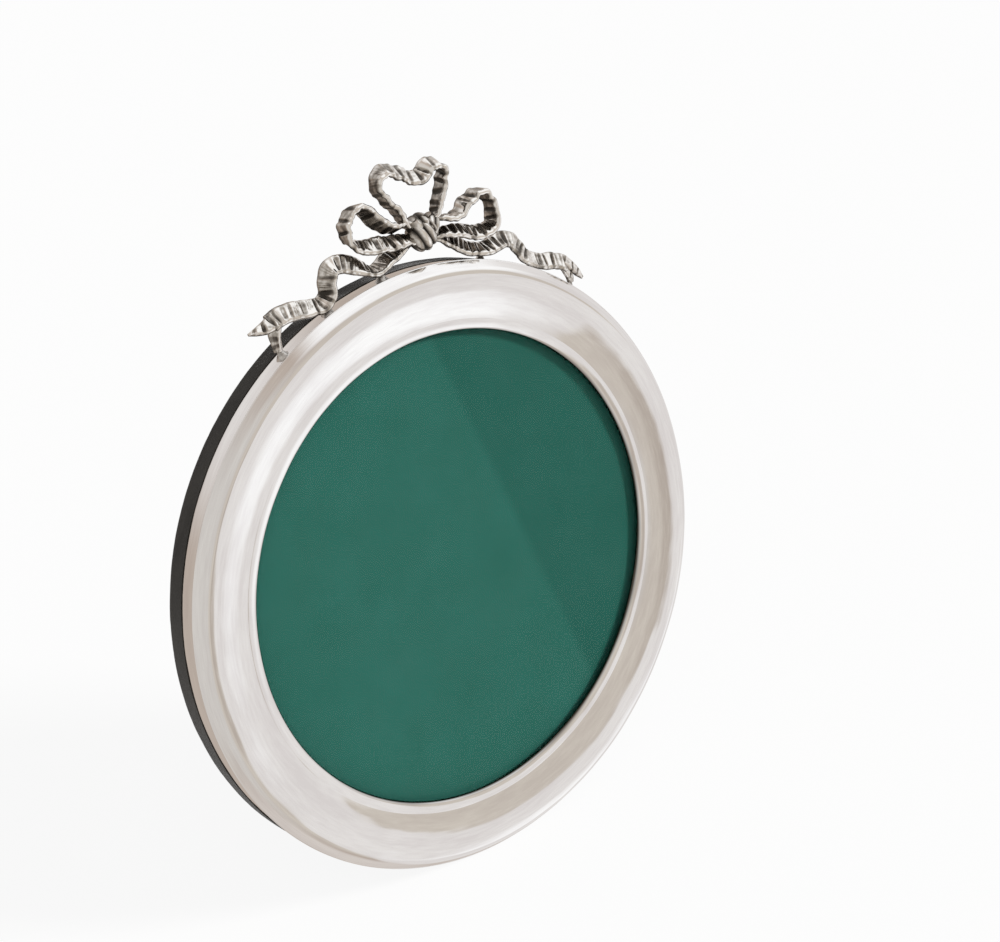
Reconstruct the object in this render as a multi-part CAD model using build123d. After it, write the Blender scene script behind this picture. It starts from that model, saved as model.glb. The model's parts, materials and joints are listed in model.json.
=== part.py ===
from build123d import *
import math
import os

os.makedirs("parts", exist_ok=True)

# Main sizes, in millimetres and degrees
FRAME_R = 90.0
LEAN = 9.0
BAND_DEPTH = 6.4
BACK_DEPTH = 6.9
STRUT_ANGLE = 15.0

# Silver front: flange, dome with its crown near the rim, and the rolled lip around the opening
SHEET = 0.7
FLANGE_WIDTH = 1.0
FLANGE_OVERHANG = 0.4
DOME_RISE = 2.8
CROWN_INSET = 4.0
FRONT_WIDTH = 20.0
BEAD_WIDTH = 3.4
BEAD_OUTER_FRONT = 0.0
BEAD_MIDDLE_FRONT = 0.36
BEAD_MIDDLE_INSET = 1.3
BEAD_WALL_TOP = 1.0
BEAD_BACK = 1.8

# Pocket behind the opening
POCKET_LAP = 5.5
GLASS_THICK = 1.6
PHOTO_GAP = 0.15
SHEET_THICK = 0.4
CARD_THICK = 1.0
POCKET_PLAY = 0.3
CARD_PLAY = 0.1
LINER_PLAY = 0.2

# Velvet back and its strut
VELVET = 0.5
BACK_INSET = 0.2
VELVET_ROUND = 1.0
HINGE_HEIGHT = 25.0
HINGE_WIDTH = 28.0
HINGE_LEAF = 12.0
LEAF_THICK = 0.8
KNUCKLE_R = 1.6
KNUCKLE_OFF = 0.1
KNUCKLE_MIDDLE = 10.0
KNUCKLE_PLAY = 0.3
PIN_R = 0.7
PIN_PLAY = 0.05
STRUT_STANDOFF = 1.8
STRUT_THICK = 3.2
STRUT_TOP_HALF = 15.0
STRUT_FOOT_HALF = 20.0
STRUT_GAP = 0.7

# Small metal pieces
SCREW_HEAD_R = 2.0
SCREW_HEAD = 0.7
SCREW_SHANK_R = 0.8
SCREW_LENGTH = 3.0
SCREW_SLOT = 0.4
SCREW_PITCH = 9.5
SCREW_FROM_PIN = 7.5
RIVET_HEAD_R = 2.4
RIVET_HEAD = 0.7
RIVET_SHANK_R = 1.0
RIVET_LENGTH = 2.2
HEAD_ROUNDING = 0.7

# Ribbon stay
STAY_WIDTH = 10.0
STAY_THICK = 0.4
STAY_TAB = 8.0
STAY_DROP = 66.0
STAY_OFFSET = 7.0
STAY_PLAY = 0.05

# Bow of silver ribbon
RIBBON_WIDTH = 4.8
RIBBON_THICK = 1.8
BOW_DEPTH = 3.0
KNOT_RISE = 8.9
KNOT_SIZE = (4.6, 3.7, 5.1)
STATIONS = 4
SOLDER_R = 2.1
SOLDER_TOP_R = 1.1
SOLDER_HEIGHT = 3.4
SOLDER_SUNK = 1.0

# Levels that follow from the sizes above, measured back from the flange's face
BAND_R = FRAME_R - FLANGE_OVERHANG
SIGHT_R = FRAME_R - FRONT_WIDTH
POCKET_R = SIGHT_R + POCKET_LAP
FLANGE_IN_R = FRAME_R - FLANGE_WIDTH
CROWN_R = FRAME_R - CROWN_INSET
CREASE_R = SIGHT_R + BEAD_WIDTH
GLASS_BACK = BEAD_BACK + GLASS_THICK
SHEET_FRONT = GLASS_BACK + PHOTO_GAP
SHEET_BACK = SHEET_FRONT + SHEET_THICK
CARD_BACK = SHEET_BACK + CARD_THICK
BACK_FACE = BAND_DEPTH + BACK_DEPTH
BACK_R = FRAME_R - BACK_INSET
HINGE_Y = BACK_FACE + KNUCKLE_OFF + KNUCKLE_R
STRUT_FACE = BACK_FACE + STRUT_STANDOFF
TABLE_DROP = (
    (BACK_R - VELVET_ROUND) * math.cos(math.radians(LEAN))
    + (BACK_FACE - VELVET_ROUND) * math.sin(math.radians(LEAN))
    + VELVET_ROUND
)
HINGE_AXIS = Axis((0, HINGE_Y, HINGE_HEIGHT), (1, 0, 0))

# The bow's ribbons: place along the rim, height above it, depth, and tilt from edge-on
TOP_LOOP = [
    (-2.5, 9.5, 3.0, 0),
    (-5.0, 12.0, 3.0, 0),
    (-7.2, 16.8, 3.0, 0),
    (-10.0, 21.0, 3.0, 0),
    (-10.7, 24.8, 3.0, 0),
    (-8.4, 27.2, 3.0, 25),
    (-4.6, 26.0, 3.0, 40),
    (0.2, 23.9, 3.0, 40),
    (3.2, 26.6, 3.0, 38),
    (6.4, 26.2, 3.0, 15),
    (7.0, 22.8, 3.0, 0),
    (5.6, 18.7, 3.0, 0),
    (4.2, 13.1, 3.0, 0),
    (2.5, 9.5, 3.0, 0),
]
LEFT_LOOP = [
    (-2.0, 7.4, 2.0, -30),
    (-5.0, 7.8, 2.0, -30),
    (-8.9, 8.3, 2.0, -40),
    (-12.4, 8.8, 2.0, -45),
    (-16.1, 9.5, 2.0, -45),
    (-20.0, 11.0, 2.1, -35),
    (-22.4, 13.4, 2.3, -10),
    (-22.2, 16.1, 2.6, 0),
    (-20.5, 18.2, 2.9, 0),
    (-19.3, 20.1, 3.0, 0),
    (-17.6, 21.3, 3.0, -5),
    (-15.9, 20.1, 3.0, -20),
    (-14.7, 17.7, 3.0, -30),
    (-12.9, 15.3, 3.0, -35),
    (-10.8, 13.3, 3.0, -30),
    (-7.8, 11.9, 3.0, -20),
    (-2.0, 11.7, 3.0, -10),
]
RIGHT_LOOP = [
    (2.0, 7.4, 2.2, 25),
    (5.0, 7.8, 2.2, 25),
    (8.2, 7.9, 2.2, 30),
    (12.0, 7.6, 2.2, 40),
    (15.9, 7.4, 2.2, 45),
    (19.4, 8.2, 2.4, 35),
    (22.3, 10.2, 2.8, 20),
    (22.3, 13.0, 3.0, 10),
    (21.0, 16.0, 3.0, 5),
    (19.0, 18.3, 3.0, 0),
    (16.5, 18.0, 3.0, -10),
    (13.8, 15.5, 3.0, -20),
    (11.9, 13.4, 3.2, -15),
    (8.6, 11.9, 3.3, -5),
    (2.0, 11.6, 3.4, 5),
]
LEFT_TAIL = [
    (-2.0, 7.2, 4.6, -20),
    (-6.0, 6.4, 4.6, -35),
    (-11.0, 4.4, 4.2, -35),
    (-15.4, 2.7, 3.6, -20),
    (-18.8, 3.8, 3.2, -30),
    (-22.3, 6.6, 3.0, -60),
    (-25.8, 9.0, 3.0, -65),
    (-29.0, 9.6, 3.0, -50),
    (-31.2, 6.9, 3.0, -40),
    (-33.0, 3.8, 3.0, -40),
    (-35.6, 2.6, 3.0, -40),
    (-39.2, 4.0, 3.0, -50),
    (-43.0, 6.2, 3.0, -55),
    (-46.7, 8.0, 3.0, -55),
    (-50.0, 8.6, 3.0, -52),
]
RIGHT_TAIL = [
    (2.0, 7.6, 4.6, 20),
    (6.0, 6.8, 4.6, 45),
    (10.4, 5.0, 4.3, 55),
    (14.8, 3.0, 3.7, 45),
    (19.6, 2.4, 3.1, 35),
    (23.4, 4.2, 3.0, 42),
    (26.6, 6.2, 3.0, 50),
    (29.8, 6.4, 3.0, 60),
    (32.6, 4.4, 3.0, 65),
    (36.2, 2.5, 3.0, 55),
    (41.0, 2.6, 3.0, 55),
    (45.8, 4.4, 3.0, 58),
    (50.4, 5.4, 3.0, 62),
]
LEFT_FORK_OUT = [(-48.4, 8.4, 3.0, -50, 4.2), (-51.8, 8.8, 3.0, -52, 3.2), (-55.9, 11.1, 3.0, -55, 0.6)]
LEFT_FORK_IN = [(-49.0, 7.6, 3.0, -50, 3.2), (-51.2, 5.0, 3.0, -40, 3.0), (-52.8, 1.4, 3.0, -30, 2.0)]
RIGHT_FORK_OUT = [(49.6, 6.2, 3.0, 62, 2.6), (53.6, 5.4, 3.0, 65, 2.6), (58.2, 4.4, 3.0, 70, 0.8)]
RIGHT_FORK_IN = [(49.8, 4.4, 3.0, 62, 2.6), (52.6, 3.2, 3.0, 65, 2.6), (54.9, 1.2, 3.0, 70, 1.4)]

# Where the ribbons are soldered to the rim
SOLDER_PLACES = [-52.8, -35.2, -15.6, 19.2, 38.2, 54.6]


def ring(profile_points):
    """A ring turned about the frame's axis from straight-sided points (radius, depth)."""
    return revolve(make_face(Polyline(*profile_points, close=True)), Axis.Y)


def disc(radius, front, back):
    """A flat round piece between two depths."""
    return ring([(0, front), (radius, front), (radius, back), (0, back)])


def crown_radius(reach):
    """Radius of a round section that falls by the dome's rise over the given reach."""
    return (reach * reach + DOME_RISE * DOME_RISE) / (2 * DOME_RISE)


def dome_section(inner_r, set_in):
    """The dome's section from a radius up to the crown, and from there down to the flange."""
    inner_radius = crown_radius(CROWN_R - CREASE_R)
    outer_radius = crown_radius(FLANGE_IN_R - CROWN_R)
    inner_depth = inner_radius - DOME_RISE
    outer_depth = outer_radius - DOME_RISE

    def inner_point(r):
        return (r, inner_depth - math.sqrt((inner_radius - set_in) ** 2 - (r - CROWN_R) ** 2))

    def outer_point(turn):
        radius = outer_radius - set_in
        return (CROWN_R + radius * math.sin(turn), outer_depth - radius * math.cos(turn))

    full_turn = math.acos((outer_depth - set_in) / (outer_radius - set_in))
    inner = ThreePointArc(inner_point(inner_r), inner_point((inner_r + CROWN_R) / 2), inner_point(CROWN_R))
    outer = ThreePointArc(outer_point(0), outer_point(full_turn / 2), outer_point(full_turn))
    return inner, outer


def make_silver_front():
    front_inner, front_outer = dome_section(CREASE_R, 0)
    rear_inner, rear_outer = dome_section(CREASE_R, SHEET)
    edges = [
        front_inner,
        front_outer,
        Line(front_outer @ 1, (FRAME_R, 0)),
        Line((FRAME_R, 0), (FRAME_R, SHEET)),
        Line((FRAME_R, SHEET), rear_outer @ 1),
        rear_outer,
        rear_inner,
        Line(rear_inner @ 0, front_inner @ 0),
    ]
    return revolve(make_face(edges), Axis.Y)


def make_sight_bead():
    middle = (SIGHT_R + BEAD_MIDDLE_INSET, BEAD_MIDDLE_FRONT)
    edges = [
        Line((CREASE_R, BEAD_OUTER_FRONT), (CREASE_R, BEAD_BACK)),
        Line((CREASE_R, BEAD_BACK), (SIGHT_R, BEAD_BACK)),
        Line((SIGHT_R, BEAD_BACK), (SIGHT_R, BEAD_WALL_TOP)),
        ThreePointArc((SIGHT_R, BEAD_WALL_TOP), middle, (CREASE_R, BEAD_OUTER_FRONT)),
    ]
    return revolve(make_face(edges), Axis.Y)


def make_rim_band():
    return ring([
        (BAND_R - SHEET, SHEET),
        (BAND_R, SHEET),
        (BAND_R, BAND_DEPTH),
        (BAND_R - SHEET, BAND_DEPTH),
    ])


def make_liner_ring():
    outer = BAND_R - SHEET - LINER_PLAY
    front = SHEET + LINER_PLAY
    front_inner, front_outer = dome_section(POCKET_R, front)
    edges = [
        front_inner,
        front_outer,
        Line(front_outer @ 1, (outer, front)),
        Line((outer, front), (outer, BAND_DEPTH)),
        Line((outer, BAND_DEPTH), (POCKET_R, BAND_DEPTH)),
        Line((POCKET_R, BAND_DEPTH), front_inner @ 0),
    ]
    return revolve(make_face(edges), Axis.Y)


def make_back_board():
    spigot = disc(POCKET_R - POCKET_PLAY, CARD_BACK + CARD_PLAY, BAND_DEPTH)
    return spigot + disc(BACK_R - VELVET, BAND_DEPTH, BACK_FACE - VELVET)


def make_back_velvet():
    outside = disc(BACK_R, BAND_DEPTH, BACK_FACE)
    outside = fillet(outside.edges().sort_by(Axis.Y)[-1], VELVET_ROUND)
    return outside - disc(BACK_R - VELVET, BAND_DEPTH, BACK_FACE - VELVET)


def knuckle(first_x, last_x):
    """One barrel of the hinge, bored for the pin."""
    barrel = Cylinder(KNUCKLE_R, last_x - first_x) - Cylinder(PIN_R + PIN_PLAY, last_x - first_x)
    return Pos((first_x + last_x) / 2, HINGE_Y, HINGE_HEIGHT) * Rot(0, 90, 0) * barrel


def leaf_plate(first_x, last_x, low_z, high_z, front):
    """A flat plate of a hinge leaf, placed by its front face."""
    size = Box(last_x - first_x, LEAF_THICK, high_z - low_z)
    return Pos((first_x + last_x) / 2, front + LEAF_THICK / 2, (low_z + high_z) / 2) * size


def make_hinge_back_leaf(screw_holes):
    half = HINGE_WIDTH / 2
    inner = KNUCKLE_MIDDLE / 2 + KNUCKLE_PLAY
    clear = KNUCKLE_R + STRUT_GAP
    leaf = leaf_plate(-half, half, HINGE_HEIGHT + clear, HINGE_HEIGHT + HINGE_LEAF, BACK_FACE)
    pin_hole = Pos(0, HINGE_Y, HINGE_HEIGHT) * Rot(0, 90, 0) * Cylinder(PIN_R + PIN_PLAY, HINGE_WIDTH)
    for first_x, last_x in ((-half, -inner), (inner, half)):
        tab = leaf_plate(first_x, last_x, HINGE_HEIGHT, HINGE_HEIGHT + clear, BACK_FACE)
        leaf = leaf + tab + knuckle(first_x, last_x)
    return leaf - pin_hole - screw_holes


def make_hinge_strut_leaf(screw_holes):
    half = HINGE_WIDTH / 2
    inner = KNUCKLE_MIDDLE / 2
    clear = KNUCKLE_R + STRUT_GAP
    front = STRUT_FACE - LEAF_THICK
    leaf = leaf_plate(-half, half, HINGE_HEIGHT - HINGE_LEAF, HINGE_HEIGHT - clear, front)
    tab = leaf_plate(-inner, inner, HINGE_HEIGHT - clear, HINGE_HEIGHT, front)
    pin_hole = Pos(0, HINGE_Y, HINGE_HEIGHT) * Rot(0, 90, 0) * Cylinder(PIN_R + PIN_PLAY, HINGE_WIDTH)
    return leaf + tab + knuckle(-inner, inner) - pin_hole - screw_holes


def make_hinge_pin():
    return Pos(0, HINGE_Y, HINGE_HEIGHT) * Rot(0, 90, 0) * Cylinder(PIN_R, HINGE_WIDTH)


def screw():
    """A slotted screw with its head's underside at the origin, driven along +Y."""
    head = Pos(0, -SCREW_HEAD / 2, 0) * Rot(90, 0, 0) * Cylinder(SCREW_HEAD_R, SCREW_HEAD)
    head = fillet(head.edges().sort_by(Axis.Y)[0], SCREW_HEAD * HEAD_ROUNDING)
    slot = Pos(0, -SCREW_HEAD, 0) * Box(2 * SCREW_HEAD_R, SCREW_SLOT, SCREW_SLOT)
    shank = Pos(0, SCREW_LENGTH / 2, 0) * Rot(90, 0, 0) * Cylinder(SCREW_SHANK_R, SCREW_LENGTH)
    return head - slot + shank


def screw_row(place):
    """Three screws across a hinge leaf."""
    return [place * Pos(step * SCREW_PITCH, 0, 0) * screw() for step in (-1, 0, 1)]


def rivet():
    """A domed rivet with its head's underside at the origin, set along +Y."""
    head = Pos(0, -RIVET_HEAD / 2, 0) * Rot(90, 0, 0) * Cylinder(RIVET_HEAD_R, RIVET_HEAD)
    head = fillet(head.edges().sort_by(Axis.Y)[0], RIVET_HEAD * HEAD_ROUNDING)
    shank = Pos(0, RIVET_LENGTH / 2, 0) * Rot(90, 0, 0) * Cylinder(RIVET_SHANK_R, RIVET_LENGTH)
    return head + shank


def strut_prism(top_half, foot_half, front, back):
    """A flared plate hanging below the hinge, long enough to be cut off at the table."""
    top = HINGE_HEIGHT - KNUCKLE_R - STRUT_GAP
    foot = -FRAME_R - HINGE_HEIGHT
    outline = Polyline((-top_half, top), (top_half, top), (foot_half, foot), (-foot_half, foot), close=True)
    return Pos(0, back, 0) * extrude(Plane.XZ * make_face(outline), back - front)


def open_strut(piece):
    """Swing a piece of the strut from folded flat to standing open."""
    return piece.rotate(HINGE_AXIS, STRUT_ANGLE)


def below_table():
    """Everything under the table top, in the frame's own axes."""
    size = 6 * FRAME_R
    return Rot(LEAN, 0, 0) * Pos(0, 0, -TABLE_DROP - size / 2) * Box(size, size, size)


def strip_outline(points, thickness):
    """A thin closed outline that follows a line of points on one side and the other."""
    half = thickness / 2
    left = []
    right = []
    for index, point in enumerate(points):
        before = points[max(index - 1, 0)]
        after = points[min(index + 1, len(points) - 1)]
        first = Vector(*point) - Vector(*before)
        second = Vector(*after) - Vector(*point)
        first = first.normalized() if first.length > 0 else second.normalized()
        second = second.normalized() if second.length > 0 else first
        middle = (first + second).normalized()
        normal = Vector(-middle.Y, middle.X)
        reach = half / normal.dot(Vector(-first.Y, first.X))
        left.append(Vector(*point) + normal * reach)
        right.append(Vector(*point) - normal * reach)
    return make_face(Polyline(*left, *reversed(right), close=True))


def strut_inside(drop, off):
    """A point on the open strut's inner side, drop below the hinge and off its face."""
    angle = math.radians(STRUT_ANGLE)
    across = STRUT_FACE - off - HINGE_Y
    y = HINGE_Y + across * math.cos(angle) + drop * math.sin(angle)
    z = HINGE_HEIGHT + across * math.sin(angle) - drop * math.cos(angle)
    return (y, z)


def make_stay_ribbon():
    off = STAY_THICK / 2 + STAY_PLAY
    low = HINGE_HEIGHT - STAY_DROP
    points = [
        (BACK_FACE + off, low + STAY_TAB),
        (BACK_FACE + off, low),
        strut_inside(STAY_DROP + STAY_OFFSET, off),
        strut_inside(STAY_DROP + STAY_OFFSET + STAY_TAB, off),
    ]
    face = Plane.YZ * strip_outline(points, STAY_THICK)
    return Pos(-STAY_WIDTH / 2, 0, 0) * extrude(face, STAY_WIDTH)


def rim_point(along, height, depth):
    """A point given along the rim from the top, above the rim, and back from the flange."""
    angle = along / FRAME_R
    reach = FRAME_R + height
    return Vector(reach * math.sin(angle), depth, reach * math.cos(angle))


def smooth(points):
    """Points on a smooth curve through the given ones, keeping their extra values."""
    result = []
    last = len(points) - 1
    for index in range(last):
        a = points[max(index - 1, 0)]
        b = points[index]
        c = points[index + 1]
        d = points[min(index + 2, last)]
        for step in range(STATIONS):
            t = step / STATIONS
            result.append(tuple(
                0.5 * (2 * q + (r - p) * t + (2 * p - 5 * q + 4 * r - s) * t * t
                       + (3 * q - p - 3 * r + s) * t ** 3)
                for p, q, r, s in zip(a, b, c, d)
            ))
    result.append(points[last])
    return result


def ribbon(points):
    """A flat metal ribbon along rim points: place, height, depth, tilt and optional width."""
    stations = smooth(points)
    centres = [rim_point(*station[:3]) for station in stations]
    last = len(stations) - 1
    sections = []
    for index, station in enumerate(stations):
        along = (centres[min(index + 1, last)] - centres[max(index - 1, 0)]).normalized()
        side = Vector(-along.Z, 0, along.X).normalized()
        tilt = math.radians(station[3])
        across = Vector(0, math.cos(tilt), 0) + side * math.sin(tilt)
        across = (across - along * across.dot(along)).normalized()
        width = station[4] if len(station) > 4 else RIBBON_WIDTH
        place = Plane(origin=centres[index], x_dir=across, z_dir=along)
        sections.append(place * Rectangle(width, min(width, RIBBON_THICK)))
    return loft(sections, ruled=True)


def make_knot():
    ball = scale(Sphere(1.0), by=KNOT_SIZE)
    return Pos(0, BOW_DEPTH, FRAME_R + KNOT_RISE) * ball


def largest(piece):
    """The main solid of a piece, without the scraps that fitting cuts loose."""
    return piece.solids().sort_by(SortBy.VOLUME)[-1]


def solder_foot(along):
    """A blob of solder between the rim band and the ribbon above it."""
    angle = math.degrees(along / FRAME_R)
    blob = Cone(SOLDER_R, SOLDER_TOP_R, SOLDER_HEIGHT)
    blob = Pos(0, BOW_DEPTH, BAND_R + SOLDER_HEIGHT / 2 - SOLDER_SUNK) * blob
    return Rot(0, angle, 0) * blob


# Surround: silver, liner, glass and what lies behind it
nodes = {}
nodes["silver_front"] = make_silver_front()
nodes["sight_bead"] = make_sight_bead()
nodes["rim_band"] = make_rim_band()
nodes["liner_ring"] = make_liner_ring()
nodes["glass"] = disc(POCKET_R - POCKET_PLAY, BEAD_BACK, GLASS_BACK)
nodes["backing_sheet"] = disc(POCKET_R - POCKET_PLAY, SHEET_FRONT, SHEET_BACK)
nodes["packing_card"] = disc(POCKET_R - POCKET_PLAY, SHEET_BACK, CARD_BACK)

# Bow: each ribbon is fitted against the ones in front of it
inside_rim = disc(BAND_R, -FRAME_R, FRAME_R)
knot = make_knot()
top_loop = largest(ribbon(TOP_LOOP) - knot)
left_loop = largest(ribbon(LEFT_LOOP) - knot - top_loop)
right_loop = largest(ribbon(RIGHT_LOOP) - knot - top_loop)
left_tail = ribbon(LEFT_TAIL) + ribbon(LEFT_FORK_OUT) + ribbon(LEFT_FORK_IN)
left_tail = largest(left_tail - knot - left_loop - top_loop - inside_rim)
right_tail = ribbon(RIGHT_TAIL) + ribbon(RIGHT_FORK_OUT) + ribbon(RIGHT_FORK_IN)
right_tail = largest(right_tail - knot - right_loop - top_loop - left_tail - inside_rim)
solder = [largest(solder_foot(along) - inside_rim - left_tail - right_tail) for along in SOLDER_PLACES]
nodes["bow_knot"] = knot
nodes["bow_top_loop"] = top_loop
nodes["bow_left_loop"] = left_loop
nodes["bow_right_loop"] = right_loop
nodes["bow_left_tail"] = left_tail
nodes["bow_right_tail"] = right_tail
nodes["bow_solder_feet"] = Compound(solder)

# Back: board, velvet, the fixed half of the hinge and the ribbon stay
back_screws = screw_row(
    Pos(0, BACK_FACE + LEAF_THICK, HINGE_HEIGHT + SCREW_FROM_PIN) * Rot(0, 0, 180)
)
back_rivet = Pos(0, BACK_FACE + STAY_THICK + 2 * STAY_PLAY, HINGE_HEIGHT - STAY_DROP + STAY_TAB / 2)
back_rivet = back_rivet * Rot(0, 0, 180) * rivet()
nodes["back_board"] = make_back_board() - back_screws - back_rivet
nodes["back_velvet"] = make_back_velvet() - back_screws - back_rivet
nodes["hinge_back_leaf"] = make_hinge_back_leaf(back_screws)
nodes["hinge_pin"] = make_hinge_pin()
nodes["hinge_back_screws"] = Compound([piece.solid() for piece in back_screws])
nodes["stay_back_rivet"] = back_rivet

# Strut: modelled folded flat, then swung open and cut off level with the table
strut_back = STRUT_FACE + 2 * VELVET + STRUT_THICK
board = strut_prism(
    STRUT_TOP_HALF - VELVET, STRUT_FOOT_HALF - VELVET, STRUT_FACE + VELVET, strut_back - VELVET
)
cover = strut_prism(STRUT_TOP_HALF, STRUT_FOOT_HALF, STRUT_FACE, strut_back) - board
strut_screws = screw_row(Pos(0, STRUT_FACE - LEAF_THICK, HINGE_HEIGHT - SCREW_FROM_PIN))
rivet_drop = STAY_DROP + STAY_OFFSET + STAY_TAB / 2
rivet_front = STRUT_FACE - STAY_THICK - 2 * STAY_PLAY
strut_rivet = Pos(0, rivet_front, HINGE_HEIGHT - rivet_drop) * rivet()
strut_pieces = {
    "strut_board": [board - strut_screws - strut_rivet],
    "strut_velvet": [cover - strut_screws - strut_rivet],
    "hinge_strut_leaf": [make_hinge_strut_leaf(strut_screws)],
    "hinge_strut_screws": strut_screws,
    "stay_strut_rivet": [strut_rivet],
}
under = below_table()
for name, pieces in strut_pieces.items():
    opened = [(open_strut(piece) - under).solid() for piece in pieces]
    nodes[name] = Compound(opened) if len(opened) > 1 else opened[0]

# The stay is pierced for both rivets
ribbon_hole = Rot(90, 0, 0) * Cylinder(RIVET_SHANK_R + STAY_PLAY, 4 * RIVET_LENGTH)
back_hole = Pos(0, BACK_FACE, HINGE_HEIGHT - STAY_DROP + STAY_TAB / 2) * ribbon_hole
strut_hole = open_strut(Pos(0, STRUT_FACE, HINGE_HEIGHT - rivet_drop) * ribbon_hole)
nodes["stay_ribbon"] = make_stay_ribbon() - back_hole - strut_hole

# Stand the frame on the table, leaning back, centred on its footprint
leaned = {name: Rot(-LEAN, 0, 0) * piece for name, piece in nodes.items()}
boxes = [piece.bounding_box() for piece in leaned.values()]
middle_y = (min(box.min.Y for box in boxes) + max(box.max.Y for box in boxes)) / 2
for name, piece in leaned.items():
    export_step(Pos(0, -middle_y, TABLE_DROP) * piece, f"parts/{name}.step")
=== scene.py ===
import json
import math
import random

import bmesh
import bpy
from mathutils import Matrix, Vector, noise


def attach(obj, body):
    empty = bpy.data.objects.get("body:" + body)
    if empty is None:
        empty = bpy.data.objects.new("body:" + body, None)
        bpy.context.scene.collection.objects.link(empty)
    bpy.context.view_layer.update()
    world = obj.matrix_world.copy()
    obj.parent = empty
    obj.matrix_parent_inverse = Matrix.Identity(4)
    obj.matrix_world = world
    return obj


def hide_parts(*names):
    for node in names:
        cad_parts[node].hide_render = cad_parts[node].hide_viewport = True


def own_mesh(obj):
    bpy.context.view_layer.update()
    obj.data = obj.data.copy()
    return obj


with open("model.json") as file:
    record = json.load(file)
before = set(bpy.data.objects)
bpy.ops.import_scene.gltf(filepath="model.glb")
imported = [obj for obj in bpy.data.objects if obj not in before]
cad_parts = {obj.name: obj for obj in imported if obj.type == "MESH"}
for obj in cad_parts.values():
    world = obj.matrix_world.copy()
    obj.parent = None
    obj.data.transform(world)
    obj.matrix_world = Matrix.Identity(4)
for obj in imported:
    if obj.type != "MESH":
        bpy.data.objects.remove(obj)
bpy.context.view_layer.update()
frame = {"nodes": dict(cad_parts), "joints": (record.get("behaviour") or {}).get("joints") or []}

# Sizes in millimetres, measured right, back and up from the flange's centre, and angles in degrees
MM = 0.001
FRAME_R = 90.0
FLANGE_IN_R = 89.0
FLANGE_OVERHANG = 0.4
FLANGE_ROUND = 0.25
FLANGE_TURN = 50.0
SHEET = 0.7
CROWN_R = 86.0
CREASE_R = 73.4
SIGHT_R = 70.0
DOME_RISE = 2.8
SLOPE_START = 2.0
UNDERSIDE_START = 80.0
UNDERSIDE_NEXT = -4.0
BEAD_ROLL = 1.3
BEAD_WALL_TOP = 1.6
BEAD_BACK = 1.8
BEAD_CHAMFER = 0.1
# Painted shade on the sight bead: its inner wall darkens fully from this depth back, over this distance,
# towards the glass
PAINTED_SHADE_TOP = 0.45
PAINTED_SHADE_FADE = 0.6
BAND_R = FRAME_R - FLANGE_OVERHANG
BAND_DEPTH = 6.4
BAND_ROUND = 0.2
BACK_R = 89.8
BACK_FACE = 13.3
BACK_HOLE = 0.02
VELVET = 0.5
VELVET_ROUND = 1.0
HINGE_BACK = 15.0
HINGE_UP = 25.0
STRUT_ANGLE = 15.0
STRUT_FACE = 15.1
STRUT_DEPTH = 4.2
STRUT_TOP_HALF = 15.0
STRUT_FOOT_HALF = 20.0
STRUT_TOP = 22.7
STRUT_LOW = -115.0
STRUT_EDGE = 0.7
STRUT_SKIN = 0.45
STAY_WIDTH = 10.0
STAY_THICK = 0.4
STAY_OFF = 0.25
STAY_DROP = 66.0
STAY_OFFSET = 7.0
STAY_TAB = 8.0
STAY_BEND = 1.6
SELVEDGE = 0.5

# Shares of the stay's thickness at its selvedges and between them
SELVEDGE_SHARE = 1.0
MIDDLE_SHARE = 0.85

# Unevenness in millimetres, and the scale, shift or turn of the noise or wave that makes it
SILVER_DROP = 0.12
SILVER_BROAD = 0.2
SILVER_BROAD_SCALE = 0.05
SILVER_BROAD_SHIFT = Vector((3.1, 0.0, 7.7))
SILVER_CLOSE = 0.045
SILVER_CLOSE_SCALE = 0.12
SILVER_CLOSE_SHIFT = Vector((11.0, 5.0, 2.0))
SILVER_SPUN = 0.022
SILVER_SPUN_SCALE = 0.6
SILVER_SPUN_AROUND = 1.5
BAND_RELIEF = 0.05
BAND_RELIEF_SCALE = 0.06
VELVET_FACE = 0.04
VELVET_FACE_SCALE = 0.05
VELVET_PILE = 0.05
VELVET_PILE_SCALE = 0.5
VELVET_EDGE = 0.1
VELVET_EDGE_SCALE = 0.09
VELVET_DROP = 0.08
STAY_RIPPLE = 0.015
STAY_RIPPLE_TURN = 0.9

# Bow: rows of place along the rim, height above it, depth, tilt from edge-on and, at the forks, width
FULL_ROW = 5
RIBBON_WIDTH = 4.8
RIBBON_THICK = 1.8
RIBBON_FLARE = 1.15
BOW_DEPTH = 3.0
KNOT_RISE = 8.9
KNOT_REACH = 9.0
KNOT_LEAST = 0.4
KNOT_MIDDLE = Vector((0.0, BOW_DEPTH, FRAME_R + KNOT_RISE))
TOP_LOOP = [
    (-2.5, 9.5, 3.0, 0),
    (-5.0, 12.0, 3.0, 0),
    (-7.2, 16.8, 3.0, 0),
    (-10.0, 21.0, 3.0, 0),
    (-10.7, 24.8, 3.0, 0),
    (-8.4, 27.2, 3.0, 25),
    (-4.6, 26.0, 3.0, 40),
    (0.2, 23.9, 3.0, 40),
    (3.2, 26.6, 3.0, 38),
    (6.4, 26.2, 3.0, 15),
    (7.0, 22.8, 3.0, 0),
    (5.6, 18.7, 3.0, 0),
    (4.2, 13.1, 3.0, 0),
    (2.5, 9.5, 3.0, 0),
]
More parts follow.
